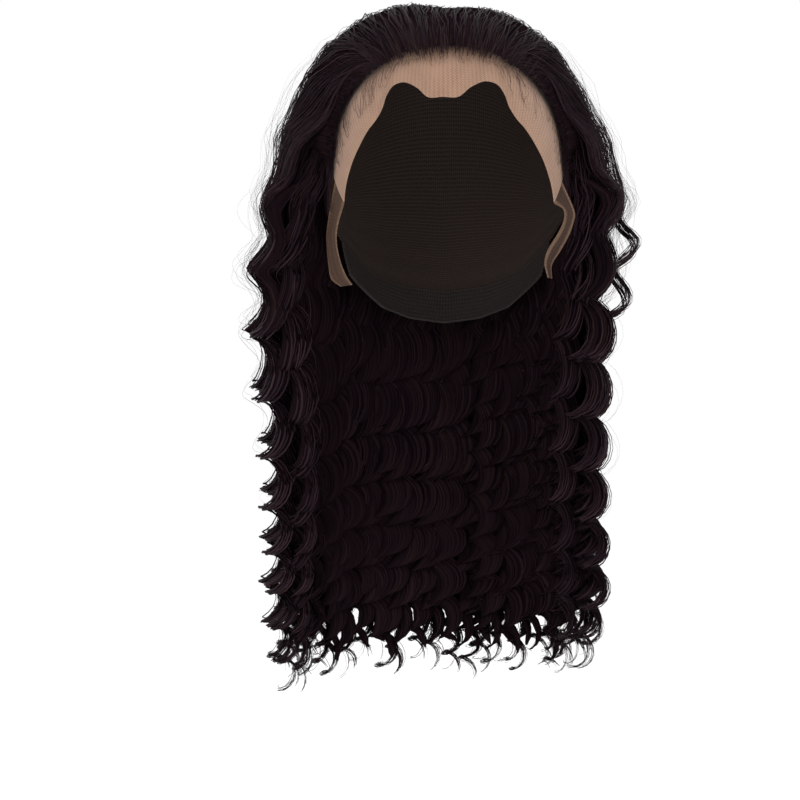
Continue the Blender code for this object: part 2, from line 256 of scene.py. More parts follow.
def read_smoothly(table, columns, column, at):
    """The column of a table at each value of its first column, on a smooth curve through the rows."""
    rows = np.array(table)
    place = np.interp(at, rows[:, 0], np.arange(len(rows)))
    return on_curve(rows[:, columns.index(column)], place)


def unit(vectors):
    return vectors / np.maximum(np.linalg.norm(vectors, axis=-1, keepdims=True), 1e-12)


def smooth_step(value):
    """0 below 0, 1 above 1, and a soft S between them."""
    clipped = np.clip(value, 0.0, 1.0)
    return clipped * clipped * (3.0 - 2.0 * clipped)


def head_direction(bearing_deg, height):
    """Unit directions from the head's centre, in a space where the head is a sphere."""
    up = np.clip((height - HEAD_CENTRE[2]) / HEAD_HALF_SIZES[2], -1.0, 1.0)
    level = np.sqrt(1.0 - up**2)
    bearing = np.radians(bearing_deg)
    return np.stack([level * np.sin(bearing), -level * np.cos(bearing), up], axis=-1)


def on_head(direction, proud=0.0):
    """Points this far outside the head, in those directions."""
    return HEAD_CENTRE + direction * (HEAD_HALF_SIZES + np.asarray(proud)[..., None])


def angle_between(start, end):
    return np.arccos(np.clip(np.sum(start * end, axis=-1), -1.0, 1.0))


def blend(start, end, share):
    """Directions on the way from start to end, at shares 0 to 1 of it."""
    return unit((1.0 - share) * start + share * end)


def over_the_top(start, end, lean=COMB_LEAN):
    """Directions over the head, as far to the side as the mean of start and end, leaning back by lean."""
    across = (start[..., 0] + end[..., 0]) / 2.0
    lift = np.sqrt(1.0 - across**2)
    return np.stack([across, lift * np.sin(lean), lift * np.cos(lean)], axis=-1)


def comb(start, end, share, lean=COMB_LEAN):
    """Directions on a quadratic curve over the head from start to end, drawn to over_the_top."""
    way = over_the_top(start, end, lean)
    share = np.asarray(share)[..., None]
    return unit((1.0 - share) ** 2 * start + 2.0 * share * (1.0 - share) * way + share**2 * end)


def lace_line(which, share, side):
    """Directions of the hairline or the cut edge, which names the pair of columns: hair or cut."""
    bearing = read_smoothly(LACE_TABLE, LACE_COLUMNS, f"{which}_bearing", share)
    height = read_smoothly(LACE_TABLE, LACE_COLUMNS, f"{which}_height", share) * MM
    return head_direction(bearing * side + WORN_ASKEW * (1.0 - share), height)


def cap_edge_line(share, side):
    bearing = read_table(CAP_EDGE_TABLE, CAP_EDGE_COLUMNS, "bearing", share)
    height = read_table(CAP_EDGE_TABLE, CAP_EDGE_COLUMNS, "height", share) * MM
    return head_direction(bearing * side, height)


def seam_directions(share, side, behind):
    """The seam between lace and net, an angle behind the hairline on the way that the hair is combed."""
    hairline = lace_line("hair", share, side)
    way = over_the_top(hairline, cap_edge_line(share, side))
    onwards = unit(way - np.sum(way * hairline, axis=-1, keepdims=True) * hairline)
    return np.cos(behind) * hairline + np.sin(behind) * onwards


def hanging(column, height):
    """A column of the hanging table, in metres, at each height in metres."""
    return read_table(HANGING_TABLE, HANGING_COLUMNS, column, height / MM) * MM


def in_curtain(bearing_deg, height, depth):
    """Points of the hanging hair: depth is 0 at its outer face and 1 at its inner face."""
    across = np.sin(np.radians(bearing_deg))
    back = -np.cos(np.radians(bearing_deg))
    side = np.where(across < 0.0, hanging("left", height), hanging("right", height))
    half_width = side - depth * hanging("side_depth", height)
    middle = hanging("middle", height)
    half_depth = hanging("back", height) - middle - depth * hanging("back_depth", height)
    return np.stack([half_width * across, middle + half_depth * back, height + 0.0 * across], axis=-1)


def rim_bearing(across):
    """The bearing at which hair leaves the crown: 180 at the back, less towards the temples."""
    side = np.where(across < 0.0, -1.0, 1.0)
    return side * (180.0 - (180.0 - TEMPLE_BEARING) * np.abs(across))


def from_hairline(direction):
    """The angle between each direction and the nearest point of the hairline."""
    across = np.linspace(-1.0, 1.0, 61)
    hairline = lace_line("hair", np.abs(across), np.where(across < 0.0, -1.0, 1.0))
    return np.arccos(np.clip(np.max(direction @ hairline.T, axis=-1), -1.0, 1.0))


def hairline_place(across, depth):
    """Where on the hairline hair has its root that leaves the crown at across, at that depth."""
    swept = smooth_step((np.abs(across) - SWEPT_FROM) / (SWEPT_FULLY - SWEPT_FROM))
    return across * (1.0 - SWEPT_BY * swept * (1.0 - np.clip(depth, 0.0, 1.0)))


def crown_points(across, step, depth, root=None, lean=COMB_LEAN):
    """Points of the crown hair: combed over the head from the hairline at root to the rim at across, as
    thick as the solid is there, and easing into the curtain."""
    root = across if root is None else root
    hairline = lace_line("hair", np.abs(root), np.where(root < 0.0, -1.0, 1.0))
    bearing = rim_bearing(across)
    rim = head_direction(bearing, np.full(np.shape(bearing), RIM_HEIGHT))
    direction = comb(hairline, rim, step, lean)
    fullness = np.sin(np.clip(from_hairline(direction) / HAIRLINE_RISE, 0.0, 1.0) * np.pi / 2)
    level = np.maximum(np.hypot(direction[..., 0], direction[..., 1]), 1e-9)
    gain = np.where(direction[..., 0] < 0.0, LEFT_GAIN, RIGHT_GAIN) * direction[..., 0] ** 2
    gain = gain + BACK_GAIN * np.maximum(direction[..., 1], 0.0) ** 2
    full = CROWN_THICKNESS + gain / level
    thickness = HAIRLINE_THICKNESS + (full - HAIRLINE_THICKNESS) * fullness
    height = on_head(direction)[..., 2]
    on_scalp = on_head(direction, NET_WALL + HAIR_CLEARANCE + thickness * (1.0 - depth))
    curtain = in_curtain(bearing, height, depth)
    hanging_free = np.maximum(step - HANGS_FREE_FROM, 0.0) / (1.0 - HANGS_FREE_FROM)
    hanging_free = (hanging_free**2 + 0.0 * height)[..., None]
    return (1.0 - hanging_free) * on_scalp + hanging_free * curtain


def drop_to_level(level):
    """How far below the rim a level lies: quarter waves whose length shrinks evenly from rim to tip."""
    shrink = (WAVE_AT_TIP - WAVE_AT_RIM) / (LEVELS - 2)
    return SEAM_GAP + level / LEVELS_PER_WAVE * (WAVE_AT_RIM + shrink * (level - 1.0) / 2.0)


def make_mesh(name, vertices, faces, uvs, materials, which=0):
    """A smooth mesh object from arrays of faces, one array for each number of corners, with the UVs of
    their corners. which is the number of each face's material."""
    mesh = bpy.data.meshes.new(name)
    corners = np.concatenate([some.ravel() for some in faces])
    sizes = np.concatenate([np.full(len(some), some.shape[1]) for some in faces])
    mesh.vertices.add(len(vertices))
    mesh.vertices.foreach_set("co", np.ascontiguousarray(vertices, dtype=np.float32).ravel())
    mesh.loops.add(len(corners))
    mesh.loops.foreach_set("vertex_index", corners.astype(np.int32))
    mesh.polygons.add(len(sizes))
    mesh.polygons.foreach_set("loop_start", (np.cumsum(sizes) - sizes).astype(np.int32))
    mesh.update(calc_edges=True)
    layer = mesh.uv_layers.new(name="UVMap")
    corner_uv = np.concatenate([uv.reshape(-1, 2) for uv in uvs]).astype(np.float32)
    layer.data.foreach_set("uv", corner_uv.ravel())
    for material in materials:
        mesh.materials.append(material)
    mesh.polygons.foreach_set("material_index", (which + 0 * sizes).astype(np.int32))
    mesh.shade_smooth()
    obj = bpy.data.objects.new(name, mesh)
    bpy.context.scene.collection.objects.link(obj)
    return obj


def strand_arrays(paths, facing, widths, ids):
    """Closed flat strands along paths: a low three-sided section, its two wide sides facing outwards.

    At each point the section's corners are half a width to either side, and a third of it towards facing.
    """
    count, points = paths.shape[:2]
    along = unit(np.gradient(paths, axis=1))
    sideways = unit(np.cross(along, facing))
    outwards = unit(np.cross(sideways, along))
    half = widths[..., None] / 2.0
    corners = (paths - half * sideways, paths + half * sideways, paths + 0.7 * half * outwards)
    vertices = np.stack(corners, axis=2).reshape(-1, 3)
    base = np.arange(count * points * 3).reshape(count, points, 3)
    rolled = np.roll(base, -1, axis=2)
    quads = np.stack([base[:, :-1], base[:, 1:], rolled[:, 1:], rolled[:, :-1]], axis=-1).reshape(-1, 4)
    tips = np.concatenate([base[:, 0], base[:, -1, ::-1]])
    onward = np.linalg.norm(np.diff(paths, axis=1), axis=-1)
    lengths = np.concatenate([np.zeros((count, 1)), np.cumsum(onward, axis=1)], axis=1)
    u = ids[:, None, None] + np.array((0.0, 0.66, 0.33)) + 0.0 * lengths[..., None]
    v = lengths[..., None] + 0.0 * u
    uv = np.stack([u, v], axis=-1).reshape(-1, 2)
    return vertices, quads, tips, uv, 0


def strand_object(name, families, materials):
    """One piece of families of strands or closed cores. Each is its vertices, faces of four, end faces,
    UVs and the number of its material."""
    vertices, faces, uvs, which = [], [], [], []
    first = 0
    for points, quads, ends, uv, number in families:
        vertices.append(points)
        for some in (quads, ends):
            faces.append(some + first)
            uvs.append(uv[some])
            which.append(np.full(len(some), number))
        first += len(points)
    return make_mesh(name, np.concatenate(vertices), faces, uvs, materials, np.concatenate(which))


def grid_quads(rows, columns, first=0):
    """Quads of a grid whose vertices are numbered row by row."""
    numbers = np.arange(rows * columns).reshape(rows, columns) + first
    corners = (numbers[:-1, :-1], numbers[:-1, 1:], numbers[1:, 1:], numbers[1:, :-1])
    return np.stack(corners, axis=-1).reshape(-1, 4)


def wall_arrays(inner, outer, uv):
    """A closed wall between two grids of the same shape. Seen from outside, the outer grid's columns run
    to the right and its rows down, and the inner grid is wound the other way."""
    rows, columns = inner.shape[:2]
    count = rows * columns
    numbers = np.arange(count).reshape(rows, columns)
    border = np.concatenate([numbers[0, :-1], numbers[:-1, -1], numbers[-1, :0:-1], numbers[:0:-1, 0]])
    onward = np.roll(border, -1)
    rim = np.stack([border, onward, onward + count, border + count], axis=-1)
    quads = np.concatenate([grid_quads(rows, columns), grid_quads(rows, columns, count)[:, ::-1], rim])
    vertices = np.concatenate([inner.reshape(-1, 3), outer.reshape(-1, 3)])
    return vertices, quads, np.concatenate([uv.reshape(-1, 2)] * 2)


def signed_volume(vertices, quads):
    """Six times the volume that faces of four enclose, below 0 where they face inwards."""
    a, b, c, d = (vertices[quads[:, n]] for n in range(4))
    return np.sum(np.cross(b - a, c - a) * a) + np.sum(np.cross(c - a, d - a) * a)


def wall_object(name, inner, outer, uv, material):
    """A wall as its own piece, its faces turned outwards by the sign of the volume that they enclose."""
    vertices, quads, corner_uv = wall_arrays(inner, outer, uv)
    quads = quads if signed_volume(vertices, quads) > 0.0 else quads[:, ::-1]
    obj = make_mesh(name, vertices, [quads], [corner_uv[quads]], [material])
    obj.data.set_sharp_from_angle(angle=np.radians(50.0))
    return obj


class Clumps:
    """The clumps that hair gathers into below the rim, with each one's own centre, wave and length.

    Each lock has some, in an outer and an inner layer, and each stray lock is one more.
    """

    def __init__(self, rng):
        lock = np.arange(len(LOCK_NAMES))
        columns, layers = np.arange(CLUMPS_ACROSS), np.arange(CLUMPS_DEEP)
        lock, column, layer = (some.ravel() for some in np.meshgrid(lock, columns, layers, indexing="ij"))
        stray = {name: np.array([row[n] for row in STRAY_TABLE]) for n, name in enumerate(STRAY_COLUMNS)}
        strays = len(STRAY_TABLE)
        self.lock = np.concatenate([lock, -1 - np.arange(strays)])
        count = lock.size
        place = (lock + (column + 0.5) / CLUMPS_ACROSS) / len(LOCK_NAMES)
        across = -1.0 + 2.0 * place + rng.normal(0.0, 0.012, count)
        self.across = np.concatenate([across, stray["across"]])
        shallow = np.where(across < 0.0, OUTER_LAYER_LEFT, OUTER_LAYER_RIGHT)
        depth = np.clip(shallow + LAYER_STEP * layer + rng.normal(0.0, 0.06, count), 0.15, 0.9)
        self.depth = np.concatenate([depth, stray["depth"]])
        self.gathers_from = np.append(np.zeros(count), np.full(strays, STRAYS_GATHER_FROM))
        self.gathers_over = np.append(np.full(count, HAIR_GATHERS_OVER), np.full(strays, STRAYS_GATHER_OVER))
        self.waves_from = np.append(np.full(count, HAIR_WAVES_FROM), np.full(strays, STRAYS_WAVE_FROM))
        self.waves_over = np.append(np.full(count, HAIR_WAVES_OVER), np.full(strays, STRAYS_WAVE_OVER))
        number = (across + 1.0) / 2.0 * len(LOCK_NAMES) - 0.5
        on_outline = (np.abs(np.abs(across) - OUTLINE_AT) < OUTLINE_REACH) & (layer == 0)
        uneven = np.where(on_outline, 0.29, np.where(layer == 1, 2.9, 1.5))
        phase = PHASE_STEP * number * (across < 0.0) + rng.normal(0.0, 1.0, count) * uneven
        self.phase = np.concatenate([phase, stray["phase"]])
        own = np.where(on_outline, 1.10, rng.uniform(0.75, 1.15, count))
        swing = WAVE_SWING * own * (1.0 - 0.2 * layer)
        self.swing = np.concatenate([swing, stray["swing_mm"] * MM])
        uneven = np.append(np.where(on_outline, 0.012, 0.045), np.full(strays, 0.03))
        tighter = np.append(np.zeros(count), np.full(strays, STRAYS_TIGHTER))
        self.stretch = tighter + rng.normal(0.0, 1.0, count + strays) * uneven
        self.belly = np.append(np.zeros(count), np.full(strays, STRAYS_BELLY))
        self.wander = rng.uniform(0.0, 2.0 * np.pi, (count + strays, 2))
        end = LONGEST_END - np.array(LEVELS_SHORT_OF_LONGEST)[lock]
        self.end = np.concatenate([end - rng.uniform(0.0, END_UNEVEN_BY, count), stray["end"]])

    def of_lock(self, number, layer=None):
        """The numbers of a lock's clumps, or of those in one of its layers."""
        mine = np.flatnonzero(self.lock == number)
        return mine if layer is None else mine[layer::CLUMPS_DEEP]


def hair_axis(points):
    """The line that hair stands away from: the head's centre above, and the middle of the curtain below."""
    height = np.minimum(points[..., 2], HEAD_CENTRE[2])
    return np.stack([0.0 * height, hanging("middle", height), height], axis=-1)


def wave_frame(path):
    """Unit vectors at each point of paths, square to the path: away from the hair's axis, and sideways."""
    along = unit(np.gradient(path, axis=1))
    sideways = unit(np.cross(along, unit(path - hair_axis(path))))
    return unit(np.cross(sideways, along)), sideways


def off_the_cap(path):
    """Points that would lie inside the cap's net, moved straight out of it."""
    room = HEAD_HALF_SIZES + NET_WALL + 0.5 * HAIR_CLEARANCE
    reach = np.linalg.norm((path - HEAD_CENTRE) / room, axis=-1, keepdims=True)
    return np.where(reach < 1.0, HEAD_CENTRE + (path - HEAD_CENTRE) / np.maximum(reach, 0.5), path)


def round_clump(count, nearest, farthest):
    """Random places about a clump's middle, in clump radii, on a ring from nearest to farthest."""
    turn = RANDOM.uniform(0.0, 2.0 * np.pi, count)
    return RANDOM.uniform(nearest, farthest, (count, 1)) * np.stack([np.cos(turn), np.sin(turn)], axis=-1)


def hair_paths(clumps, clump, across, start, depth, counts, end, offset, loose, tilt=1.0):
    """Paths of strands, and the way that each point faces.

    The unwaved path is combed over the crown from step start to 1, then hangs, drawn over some levels from
    its own place to its place in the clump, which offset gives in clump radii. counts are its points on the
    crown and below it. Round it goes a helix of one turn for each wave, whose swing grows from little on the
    crown to full below the rim. Its turns are tilted, by tilt, so that seen from the front they come to
    points towards -X. loose is how far a strand strays from its clump's wave.
    """
    count = len(across)
    step = start[:, None] + (1.0 - start[:, None]) * np.linspace(0.0, 1.0, counts[0])
    rise = np.where(start[:, None] > 0.06, 1.0 - np.exp(-(step - start[:, None]) / 0.05), 1.0)
    root = hairline_place(across, depth)[:, None] + 0.0 * step
    lean = COMB_LEAN + (TEMPLE_LEAN - COMB_LEAN) * smooth_step((np.abs(across[:, None]) - 0.5) / 0.4)
    crown = crown_points(across[:, None] + 0.0 * step, step, 1.0 - (1.0 - depth[:, None]) * rise, root, lean)
    onward = np.linalg.norm(np.diff(crown, axis=1), axis=-1)
    to_rim = np.concatenate([np.cumsum(onward[:, ::-1], axis=1)[:, ::-1], np.zeros((count, 1))], axis=1)
    crown_level = -to_rim / (WAVE_AT_RIM / LEVELS_PER_WAVE)
    level = end[:, None] * np.linspace(0.0, 1.0, counts[1] + 1)[1:]
    to_tip = end[:, None] - level
    gathered = smooth_step((level - clumps.gathers_from[clump, None]) / clumps.gathers_over[clump, None])
    side = smooth_step((np.abs(clumps.across[clump, None]) - 0.55) / 0.2)
    thin = 1.0 - (0.08 + 0.42 * side) * smooth_step((level - 4.0) / 22.0)
    thin = thin * (1.0 - 0.80 * smooth_step(1.0 - to_tip / 8.0))
    sway = 0.012 * np.sin(level / 4.3 + clumps.wander[clump, :1])
    lean_in = 0.10 * np.sin(level / 5.1 + clumps.wander[clump, 1:])
    target = clumps.across[clump, None] + offset[:, :1] * HALF_CLUMP_ACROSS * thin + sway
    place = across[:, None] + (target - across[:, None]) * gathered
    target_depth = clumps.depth[clump, None] + offset[:, 1:] * HALF_CLUMP_DEEP * thin + lean_in
    hang_depth = depth[:, None] + (target_depth - depth[:, None]) * gathered
    bellied = np.sin(np.pi * np.clip(level / STRAYS_BELLY_LEVELS, 0.0, 1.0))
    hang_depth = hang_depth - clumps.belly[clump, None] * bellied
    height = RIM_HEIGHT - drop_to_level(level)
    fall = in_curtain(rim_bearing(np.clip(place, -1.0, 1.0)), height, hang_depth)
    path = np.concatenate([crown, fall], axis=1)
    level = np.concatenate([crown_level, level], axis=1)
    outwards, sideways = wave_frame(path)
    phase = 2.0 * np.pi * level / LEVELS_PER_WAVE * (1.0 + clumps.stretch[clump, None])
    phase = phase + clumps.phase[clump, None]
    phase = phase + RANDOM.normal(0.0, 0.22, (count, 1)) * loose[:, None] + 0.16 * offset[:, :1]
    phase = phase + 0.5 * np.sin(level / 5.3 + clumps.wander[clump, 1:]) * smooth_step(level / 10.0)
    grows_over = clumps.waves_over[clump, None] + 10.0 * np.clip(depth[:, None], 0.0, 1.0)
    grown = smooth_step((level - clumps.waves_from[clump, None]) / grows_over)
    swing = clumps.swing[clump, None] * (SWING_ON_CROWN + (1.0 - SWING_ON_CROWN) * grown)
    swing = swing * (1.0 + RANDOM.normal(0.0, 0.10, (count, 1)) * loose[:, None])
    from_root = np.cumsum(np.linalg.norm(np.diff(path, axis=1, prepend=path[:, :1]), axis=-1), axis=1)
    swing = swing * smooth_step(from_root / SWING_GROWS_OVER)
    step_along = from_root / (30.0 * MM)
    turn = np.cos(phase)[..., None] * outwards + np.sin(phase)[..., None] * sideways
    ahead = np.cos(phase) * sideways[..., 0] - np.sin(phase) * outwards[..., 0]
    pointed = smooth_step((level - 0.5) / 11.0) * (1.0 - 0.22 * smooth_step((level - 16.0) / 8.0))
    pointed = pointed + 0.45 * smooth_step((level - end[:, None] + 7.0) / 5.0)
    wave = WAVE_AT_RIM + (WAVE_AT_TIP - WAVE_AT_RIM) * np.clip(level / LEVELS, 0.0, 1.0)
    drift = DRIFT * loose[:, None] * smooth_step(from_root / (35.0 * MM)) * smooth_step(1.0 - level / 6.0)
    bends = RANDOM.uniform(2.2, 5.0, (count, 1)) * step_along + RANDOM.uniform(0.0, 6.3, (count, 1))
    path = path + swing[..., None] * turn + (drift * np.sin(bends))[..., None] * sideways
    path[..., 2] += tilt * pointed * wave / (2.0 * np.pi) * ahead
    facing = unit(outwards + 0.8 * turn * smooth_step((level + 4.0) / 8.0)[..., None])
    return off_the_cap(path), facing


def strand_widths(count, points, full):
    """Widths along strands: they grow from the root, hold, and run out to a fine tip."""
    share = np.linspace(0.0, 1.0, points)
    shape = (0.30 + 0.70 * smooth_step(share / 0.12)) * (1.0 - 0.72 * smooth_step((share - 0.72) / 0.28))
    return full * RANDOM.uniform(0.45, 1.30, (count, 1)) * shape


def spread_ids(count):
    """A number for each strand, far enough from the next for its own tone."""
    return RANDOM.uniform(0.0, 400.0, count)


def clump_cores(clumps, number):
    """The dense insides of a lock's clumps: tubes of few sides, carried down each clump's own wave. Those
    at the inside of the back are as wide as the gaps between them need. They take the darker inside
    material: painted shade of the hair's depths."""
    sides, rings = CORE_SIDES, sum(CORE_POINTS)
    mine = clumps.of_lock(number)
    around = 2.0 * np.pi * np.arange(sides) / sides
    behind = 1.0 - smooth_step((abs(clumps.across[mine[0]]) - 0.55) / 0.2)
    ring = (CORE_RADIUS + CORE_WIDER_AT_BACK * behind) * np.stack([np.cos(around), np.sin(around)], axis=-1)
    offset = np.tile(ring, (len(mine), 1))
    clump = np.repeat(mine, sides)
    inside = np.isin(clump, clumps.of_lock(number, 1))
    offset[:, 0] *= np.where(inside, 1.0 + CORE_WIDER_INSIDE_BACK * behind, 1.0)
    across = np.clip(clumps.across[clump] + offset[:, 0] * HALF_CLUMP_ACROSS, -1.0, 1.0)
    depth = np.clip(clumps.depth[clump] + offset[:, 1] * HALF_CLUMP_DEEP, 0.06, 0.96)
    start, still = np.full(len(clump), CORE_START), np.zeros(len(clump))
    end = clumps.end[clump] - CORE_ENDS_BEFORE
    path, _ = hair_paths(clumps, clump, across, start, depth, CORE_POINTS, end, offset, still)
    points = path.reshape(len(mine), sides, rings, 3).swapaxes(1, 2)
    base = np.arange(len(mine) * rings * sides).reshape(len(mine), rings, sides)
    rolled = np.roll(base, -1, axis=2)
    quads = np.stack([base[:, :-1], rolled[:, :-1], rolled[:, 1:], base[:, 1:]], axis=-1).reshape(-1, 4)
    ends = np.concatenate([base[:, 0, ::-1], base[:, -1]])
    u = mine[:, None, None] * 31.0 + 12.0 * np.abs(np.cos(around / 2.0)) + 0.0 * points[..., 0]
    uv = np.stack([u, -points[..., 2]], axis=-1).reshape(-1, 2)
    points = points.reshape(-1, 3)
    if signed_volume(points - points.mean(0), quads) < 0.0:
        quads, ends = quads[:, ::-1], ends[:, ::-1]
    return points, quads, ends, uv, 1


def finish_piece(piece, node=None):
    """Holds a piece to the part's body, and hides the imported solid that it stands for, if one is named."""
    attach(piece, "root")
    if node:
        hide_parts(node)


def add_locks(clumps, materials):
    """A piece for each lock: strands from the hairline or the crown to the tips, fill, and the cores."""
    for number, name in enumerate(LOCK_NAMES):
        low, high = -1.0 + 2.0 * np.array((number, number + 1)) / len(LOCK_NAMES)
        front = smooth_step((abs(low + high) / 2.0 - 0.62) / 0.25)
        count = STRANDS_PER_LOCK
        across = RANDOM.uniform(low, high, count)
        depth = np.minimum(np.abs(RANDOM.normal(0.0, 0.10 + 0.45 * front, count)), 1.0)
        layer = (depth > 0.5).astype(int)
        clump = np.array([RANDOM.choice(clumps.of_lock(number, n)) for n in layer])
        rooted_far = RANDOM.uniform(0.0, 1.0, count) < 0.55 * (1.0 - front)
        start = np.where(rooted_far, RANDOM.uniform(0.08, 0.62, count), RANDOM.uniform(-0.012, 0.05, count))
        end = clumps.end[clump] - np.abs(RANDOM.normal(0.0, 1.0, count))
        offset = round_clump(count, 0.74, 1.10)
        loose = RANDOM.uniform(0.1, 0.7, count)
        path, facing = hair_paths(clumps, clump, across, start, depth, LOCK_POINTS, end, offset, loose)
        widths = strand_widths(count, path.shape[1], STRAND_WIDTH)
        families = [strand_arrays(path, facing, widths, spread_ids(count))]
        by_the_face = number in (0, len(LOCK_NAMES) - 1)
        count = FILL_STRANDS_PER_LOCK + (BESIDE_THE_FACE if by_the_face else 0)
        if by_the_face:
            across = np.sign(low) * RANDOM.uniform(FACE_EDGE_FROM, 1.0, count)
        else:
            across = RANDOM.uniform(low, high, count)
        clump = RANDOM.choice(clumps.of_lock(number), count)
        start = np.full(count, 0.90) if front == 0.0 else RANDOM.uniform(-0.01, 0.10, count)
        depth = RANDOM.uniform(0.55 if by_the_face else 0.1, 1.0, count)
        end = clumps.end[clump] - np.abs(RANDOM.normal(0.0, 1.5, count))
        offset = round_clump(count, 0.6, 1.3)
        loose = RANDOM.uniform(0.4, 1.8, count)
        counts = FILL_POINTS if front == 0.0 else FILL_POINTS_FROM_HAIRLINE
        path, facing = hair_paths(clumps, clump, across, start, depth, counts, end, offset, loose)
        widths = strand_widths(count, path.shape[1], STRAND_WIDTH)
        families.append(strand_arrays(path, facing, widths, spread_ids(count)))
        piece = strand_object(f"waved_{name}", families + [clump_cores(clumps, number)], materials)
        finish_piece(piece, name)


def add_crown(clumps, material, inside):
    """The dense hair over the cap, set back from the hairline and thin at the temples, and strands combed
    over it. The dense hair takes the darker inside material: painted shade under the strands."""
    columns, rows = 193, 24
    across = np.linspace(-1.0, 1.0, columns)[None, :]
    step = np.linspace(0.05, 1.0, rows)[:, None] + 0.0 * across
    across = across + 0.0 * step
    sunk = 0.11 + 0.84 * smooth_step((np.abs(across) - 0.80) / 0.18)
    outer = crown_points(across, step, sunk)
    inner = crown_points(across, step, np.full(across.shape, 0.999))
    uv = np.stack([across * 120.0, step * 0.25], axis=-1)
    finish_piece(wall_object("crown_mass", inner, outer, uv, inside), "crown_hair")

    count = CROWN_STRANDS
    root = RANDOM.uniform(-1.0, 1.0, count)
    widest = np.minimum(np.abs(root) / (1.0 - SWEPT_BY), 1.0)
    across = np.sign(root) * (np.abs(root) + RANDOM.uniform(0.0, 1.0, count) * (widest - np.abs(root)))
    swept = SWEPT_BY * smooth_step((np.abs(across) - SWEPT_FROM) / (SWEPT_FULLY - SWEPT_FROM))
    depth = 1.0 - (1.0 - root / across) / np.maximum(swept, 1e-6)
    depth = np.where(swept > 0.2, np.clip(depth, 0.0, 0.95), 0.0) + RANDOM.uniform(-0.02, 0.20, count)
    far = RANDOM.uniform(0.0, 1.0, count) < 0.4
    start = np.where(far, RANDOM.uniform(0.06, 0.6, count), RANDOM.uniform(-0.015, 0.06, count))
    depth = np.where(far, RANDOM.uniform(-0.02, 0.20, count), depth)
    end = RANDOM.uniform(1.5, 5.0, count)
    offset = round_clump(count, 0.3, 1.2)
    loose = RANDOM.uniform(0.6, 2.2, count)
    clump = nearest_clump(clumps, across)
    path, facing = hair_paths(clumps, clump, across, start, depth, CROWN_POINTS, end, offset, loose)
    widths = strand_widths(count, path.shape[1], STRAND_WIDTH * 0.62)
    strands = strand_arrays(path, facing, widths, spread_ids(count))
    finish_piece(strand_object("crown_strands", [strands], [material]))


def nearest_clump(clumps, across):
    """For each strand, the clump of the outer layer that hangs below it."""
    outer = np.concatenate([clumps.of_lock(number, 0) for number in range(len(LOCK_NAMES))])
    return outer[np.argmin(np.abs(across[:, None] - clumps.across[outer][None, :]), axis=1)]


def add_stray_locks(clumps, material):
    """Thin locks that stand off the outline, each round its own wide wave."""
    families = []
    for number in range(len(STRAY_TABLE)):
        clump = np.repeat(clumps.of_lock(-1 - number), STRANDS_PER_STRAY_LOCK)
        count = len(clump)
        across = clumps.across[clump] + RANDOM.normal(0.0, 0.02, count)
        depth = STRAY_TABLE[number][STRAY_COLUMNS.index("out")] + RANDOM.uniform(-0.05, 0.05, count)
        start = RANDOM.uniform(0.2, 0.5, count)
        end = clumps.end[clump] - np.abs(RANDOM.normal(0.0, 1.0, count))
        spread = STRAY_TABLE[number][STRAY_COLUMNS.index("spread")]
        offset = round_clump(count, 0.0, 1.5 * spread)
        loose = RANDOM.uniform(0.1, 0.5, count) + spread
        path, facing = hair_paths(clumps, clump, across, start, depth, STRAY_POINTS, end, offset, loose, 0.3)
        widths = strand_widths(count, path.shape[1], STRAND_WIDTH * (0.85 - 0.5 * spread))
        families.append(strand_arrays(path, facing, widths, spread_ids(count)))
    finish_piece(strand_object("stray_locks", families, [material]))


def add_flyaways(clumps, material):
    """Fine single hairs that stand off the outline, each on its own looser wave with a crimp of its own."""
    count = FLYAWAYS
    side = np.where(RANDOM.uniform(0.0, 1.0, count) < 0.55, 1.0, -1.0)
    widely = RANDOM.uniform(0.0, 1.0, count) < 0.3
    across = side * np.where(widely, RANDOM.uniform(0.0, 0.97, count), RANDOM.uniform(0.62, 0.97, count))
    start = RANDOM.uniform(0.0, 0.8, count)
    depth = -np.abs(RANDOM.normal(0.08, 0.10, count))
    end = RANDOM.uniform(6.0, 38.0, count)
    offset = round_clump(count, 0.8, 2.0)
    loose = RANDOM.uniform(1.5, 4.5, count)
    clump = nearest_clump(clumps, across)
    path, facing = hair_paths(clumps, clump, across, start, depth, FLYAWAY_POINTS, end, offset, loose, 0.5)
    share = np.linspace(0.0, 1.0, path.shape[1])[None, :]
    outwards, sideways = wave_frame(path)
    bulge = np.abs(RANDOM.normal(0.0, 1.0, (count, 1))) * np.where(side > 0.0, 4.5, 2.8)[:, None] * MM
    bulge = bulge * np.sin(np.pi * share**RANDOM.uniform(0.6, 1.3, (count, 1)))
    turns = share * RANDOM.uniform(4.0, 11.0, (count, 1)) + RANDOM.uniform(0.0, 1.0, (count, 1))
    turns = 2.0 * np.pi * turns
    crimp = RANDOM.uniform(0.3, 1.3, (count, 1)) * MM * smooth_step(share * 5.0)
    path = path + (bulge + crimp * np.sin(turns))[..., None] * outwards
    path = path + (crimp * np.cos(turns))[..., None] * sideways
    widths = strand_widths(count, path.shape[1], FLYAWAY_WIDTH)
    strands = strand_arrays(path, facing, widths, spread_ids(count))
    finish_piece(strand_object("flyaway_hairs", [strands], [material]))


